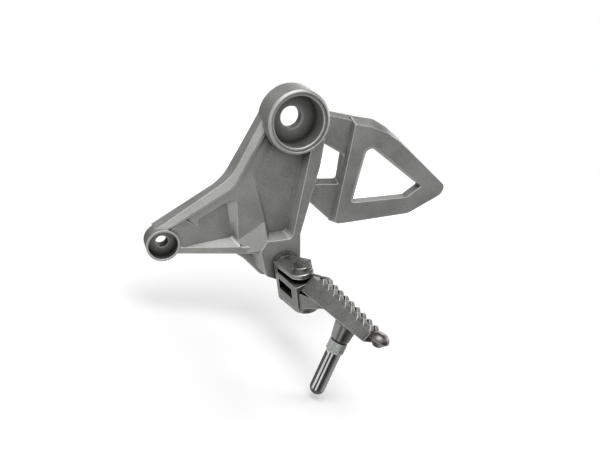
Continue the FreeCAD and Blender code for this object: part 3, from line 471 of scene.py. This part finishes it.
# Feeler, with the stretch where its rod begins below the hexagon
ROD_DOWN = (-0.1221, -0.1227)
ROD_RIPPLE = 70.0
ROD_GRAIN = 1600.0
ROD_COLOURS = (srgb(190, 192, 190), srgb(208, 210, 208))
ROD_ROUGH = (0.05, 0.10)
HEX_COLOURS = (srgb(142, 145, 141), srgb(192, 195, 191))
# Painted highlights on the hexagon's edges
HEX_EDGE = 0.0007
HEX_PAINTED_HIGHLIGHT = srgb(236, 238, 235)
HEX_ROUGH = (0.26, 0.40)
FEELER_BUMP_DEPTH = 0.00002
FEELER_BUMP = 0.2


def bright_chrome(name):
    """Turned steel: a chromed rod with a faint ripple below a hexagon of mottled satin zinc, with painted
    highlights on the hexagon's edges.
    """
    finish = Finish(name)
    ripple = finish.noise(ROD_RIPPLE, FEW_WAVES)
    grain = finish.noise(ROD_GRAIN, FEW_WAVES)
    mottle = finish.noise(CAST_PIT, SOME_WAVES)
    chrome = finish.ramp(ripple, ROD_COLOURS, BROAD)
    zinc = finish.ramp(mottle, HEX_COLOURS, NARROW)
    # Painted highlight along the hexagon's edges
    zinc = finish.mix(finish.outer_edges(finish.soft_normal(HEX_EDGE)), zinc, HEX_PAINTED_HIGHLIGHT)
    rod = finish.beyond("Z", ROD_DOWN)
    finish.set("Base Color", finish.mix(rod, zinc, chrome))
    finish.set("Metallic", 1.0)
    shine = finish.span(grain, ROD_ROUGH, BROAD)
    satin = finish.span(mottle, HEX_ROUGH, BROAD)
    finish.set("Roughness", finish.level(rod, satin, shine))
    finish.bump(grain, FEELER_BUMP_DEPTH, FEELER_BUMP)
    return finish.material


# Feeler washer
WASHER_PATCH = 380.0
WASHER_COLOURS = (srgb(16, 16, 16), srgb(34, 34, 33))
WASHER_METAL = 0.3
WASHER_ROUGH = (0.40, 0.55)
WASHER_BUMP_DEPTH = 0.00003
WASHER_BUMP = 0.3


def black_steel(name):
    """Washer steel in a near-black grey."""
    finish = Finish(name)
    patch = finish.noise(WASHER_PATCH, SOME_WAVES)
    finish.set("Base Color", finish.ramp(patch, WASHER_COLOURS, BROAD))
    finish.set("Metallic", WASHER_METAL)
    finish.set("Roughness", finish.span(patch, WASHER_ROUGH, BROAD))
    finish.bump(patch, WASHER_BUMP_DEPTH, WASHER_BUMP)
    return finish.material


def dress(names, material):
    """Gives nodes of the part one material."""
    for name in names:
        piece = nodes[name]
        piece.data.materials.clear()
        piece.data.materials.append(material)


def dress_part():
    dress(["hanger"], blasted_alloy("hanger_alloy"))
    dress(["step_joint"], polished_zinc("joint_steel"))
    fasteners = ["joint_bolt", "joint_washer", "pin_washers", "split_pin"]
    dress(fasteners, plated_steel("fastener_steel", FASTENER_COLOURS))
    # The pivot pin gets the plated zinc in darker colours, painted shade
    dress(["pivot_pin"], plated_steel("pin_steel", PIN_SHADED_COLOURS))
    dress(["return_spring"], spring_wire("spring_steel"))
    dress(["footpeg"], peg_alloy("peg_alloy"))
    dress(["feeler"], bright_chrome("feeler_steel"))
    dress(["feeler_washer"], black_steel("dark_steel"))


def background(tree, strength):
    """White light of one strength from all round."""
    node = tree.nodes.new("ShaderNodeBackground")
    node.inputs["Strength"].default_value = strength
    node.inputs["Color"].default_value = WHITE
    return node.outputs["Background"]


def light_world():
    """A soft white room that is seen as plain white, directly and in the metal."""
    world = bpy.data.worlds.new("studio")
    bpy.context.scene.world = world
    world.use_nodes = True
    tree = world.node_tree
    tree.nodes.clear()
    out = tree.nodes.new("ShaderNodeOutputWorld")
    mix = tree.nodes.new("ShaderNodeMixShader")
    tree.links.new(camera_rays(tree), mix.inputs["Fac"])
    tree.links.new(background(tree, ROOM_LIGHT), mix.inputs[1])
    tree.links.new(background(tree, ROOM_SEEN), mix.inputs[2])
    tree.links.new(mix.outputs["Shader"], out.inputs["Surface"])


def area_lamp(name, place, size, power):
    """A soft box that faces the middle of the part."""
    data = bpy.data.lights.new(name, "AREA")
    data.shape = "RECTANGLE"
    data.size = size[0]
    data.size_y = size[1]
    data.energy = power
    lamp = bpy.data.objects.new(name, data)
    bpy.context.scene.collection.objects.link(lamp)
    lamp.location = place
    toward = LAMP_TARGET - Vector(place)
    lamp.rotation_euler = toward.to_track_quat("-Z", "Y").to_euler()
    lamp.visible_camera = False


def light_part():
    for name, (place, size, power) in LAMPS.items():
        area_lamp(name, place, size, power)


def stage_piece(name, corners, faces, material):
    """A piece of the studio, which is no part of the object, from its corners and faces."""
    mesh = bpy.data.meshes.new(name)
    mesh.from_pydata(corners, [], faces)
    mesh.materials.append(material)
    piece = bpy.data.objects.new(name, mesh)
    bpy.context.scene.collection.objects.link(piece)
    return piece


def flat_piece(name, corners, material):
    """A piece of the studio with one face."""
    return stage_piece(name, corners, [tuple(range(len(corners)))], material)


def at_level(plan, level):
    """Corners of a plan at one height."""
    return [(x, y, level) for x, y in plan]


def floor_material():
    """Pale floor, plain white where the camera or the metal sees it, with the part's shadow on it."""
    finish = Finish("pale_floor")
    patch = finish.noise(FLOOR_PATCH, FEW_WAVES)
    finish.set("Base Color", finish.ramp(patch, [grey(shade) for shade in FLOOR_SHADES], (0.0, 1.0)))
    finish.set("Roughness", FLOOR_ROUGH)
    glow = finish.tree.nodes.new("ShaderNodeEmission")
    glow.inputs["Color"].default_value = WHITE
    far = finish.tree.nodes.new("ShaderNodeVectorMath")
    far.operation = "LENGTH"
    finish.join(finish.place, far.inputs[0])
    level = finish.span(far.outputs["Value"], FLOOR_GLOW, FLOOR_GLOW_STRETCH)
    finish.join(finish.product(camera_rays(finish.tree), level), glow.inputs["Strength"])
    both = finish.tree.nodes.new("ShaderNodeAddShader")
    finish.join(finish.shader.outputs["BSDF"], both.inputs[0])
    finish.join(glow.outputs["Emission"], both.inputs[1])
    finish.join(both.outputs["Shader"], finish.tree.nodes["Material Output"].inputs["Surface"])
    return finish.material


def floor_level():
    """Height of the floor."""
    return cad_box[0][2] - FLOOR_GAP


def floor_piece():
    half = FLOOR_HALF
    plan = [(-half, -half), (half, -half), (half, half), (-half, half)]
    flat_piece("floor", at_level(plan, floor_level()), floor_material())


def card_material(name, shade):
    """Card of one even shade in any light."""
    material = bpy.data.materials.new(name)
    material.use_nodes = True
    tree = material.node_tree
    tree.nodes.clear()
    out = tree.nodes.new("ShaderNodeOutputMaterial")
    glow = tree.nodes.new("ShaderNodeEmission")
    glow.inputs["Color"].default_value = grey(shade)
    tree.links.new(glow.outputs["Emission"], out.inputs["Surface"])
    return material


def only_mirrored(piece):
    """Leaves a piece of the studio to reflections alone."""
    piece.visible_camera = False
    piece.visible_diffuse = False
    piece.visible_shadow = False
    piece.visible_transmission = False


def level_card(name, plan, level, shade):
    """Dark card that lies level and shows in the metal alone."""
    only_mirrored(flat_piece(name, at_level(plan, level), card_material(name, shade)))


def folded_card(name, plan, height, shade):
    """Dark card that shows in the metal alone: one sheet on the floor and one standing at its far side."""
    level = floor_level() + CARD_LIFT
    material = card_material(name, shade)
    far = plan[1:3]
    standing = at_level(far, level) + at_level(reversed(far), level + height)
    only_mirrored(flat_piece(name + "_lying", at_level(plan, level), material))
    only_mirrored(flat_piece(name + "_standing", standing, material))


def foot_arc(radius, start, end):
    """Points of a plan round the feeler's foot, between two headings."""
    steps = math.ceil((end - start) / SCREEN_STEP)
    points = []
    for index in range(steps + 1):
        heading = math.radians(start + (end - start) * index / steps)
        x = FEELER_FOOT.x + radius * math.cos(heading)
        y = FEELER_FOOT.y + radius * math.sin(heading)
        points.append((x, y))
    return points


def strip_faces(rows):
    """Four-sided faces between neighbouring rows of as many points."""
    count = len(rows[0])
    faces = []
    for row in range(len(rows) - 1):
        for index in range(row * count, (row + 1) * count - 1):
            faces.append((index, index + 1, index + count + 1, index + count))
    return faces


def screen(name, start, end, height, shade):
    """Dark screen that shows in the metal alone: it runs out from the feeler's foot and then stands up."""
    level = floor_level()
    inner = foot_arc(SCREEN_INNER, start, end)
    outer = foot_arc(SCREEN_REACH, start, end)
    rows = [at_level(inner, level + SHEET_LIFT), at_level(outer, level + SHEET_LIFT),
            at_level(outer, level + height)]
    only_mirrored(stage_piece(name, sum(rows, []), strip_faces(rows), card_material(name, shade)))


def set_screens():
    """Screens round the feeler that put dark and light bands into its polish."""
    for number, (start, end, height, shade) in enumerate(SCREENS):
        screen("screen_%d" % number, start, end, height, shade)
    disc = foot_arc(SCREEN_INNER, 0.0, 360.0 - SCREEN_STEP)
    level_card("screen_foot", disc, floor_level() + SHEET_LIFT, FOOT_SHADE)


def set_cards():
    """Cards that darken what the metal mirrors at the left, at the right and overhead."""
    folded_card("card_left", CARD_LEFT, CARD_LEFT_HEIGHT, CARD_LEFT_SHADE)
    level_card("card_near", CARD_NEAR, floor_level() + SHEET_LIFT, CARD_NEAR_SHADE)
    folded_card("card_right", CARD_RIGHT, CARD_RIGHT_HEIGHT, CARD_RIGHT_SHADE)
    level_card("card_top", CARD_TOP, CARD_TOP_LEVEL, CARD_TOP_SHADE)


def photo_camera():
    """Camera at the photograph's place and angle."""
    data = bpy.data.cameras.new("photo_camera")
    data.sensor_fit = "HORIZONTAL"
    data.sensor_width = CAMERA_SENSOR
    data.lens = CAMERA_LENS
    data.clip_start = CAMERA_NEAREST
    data.clip_end = CAMERA_FARTHEST
    camera = bpy.data.objects.new("photo_camera", data)
    bpy.context.scene.collection.objects.link(camera)
    forward = CAMERA_FORWARD.normalized()
    right = forward.cross(CAMERA_UP).normalized()
    up = right.cross(forward)
    turn = Matrix((right, up, -forward)).transposed().to_4x4()
    camera.matrix_world = Matrix.Translation(CAMERA_PLACE) @ turn
    bpy.context.scene.camera = camera


dress_part()
light_world()
light_part()
floor_piece()
set_cards()
set_screens()
photo_camera()
bpy.context.scene.view_settings.view_transform = "Standard"
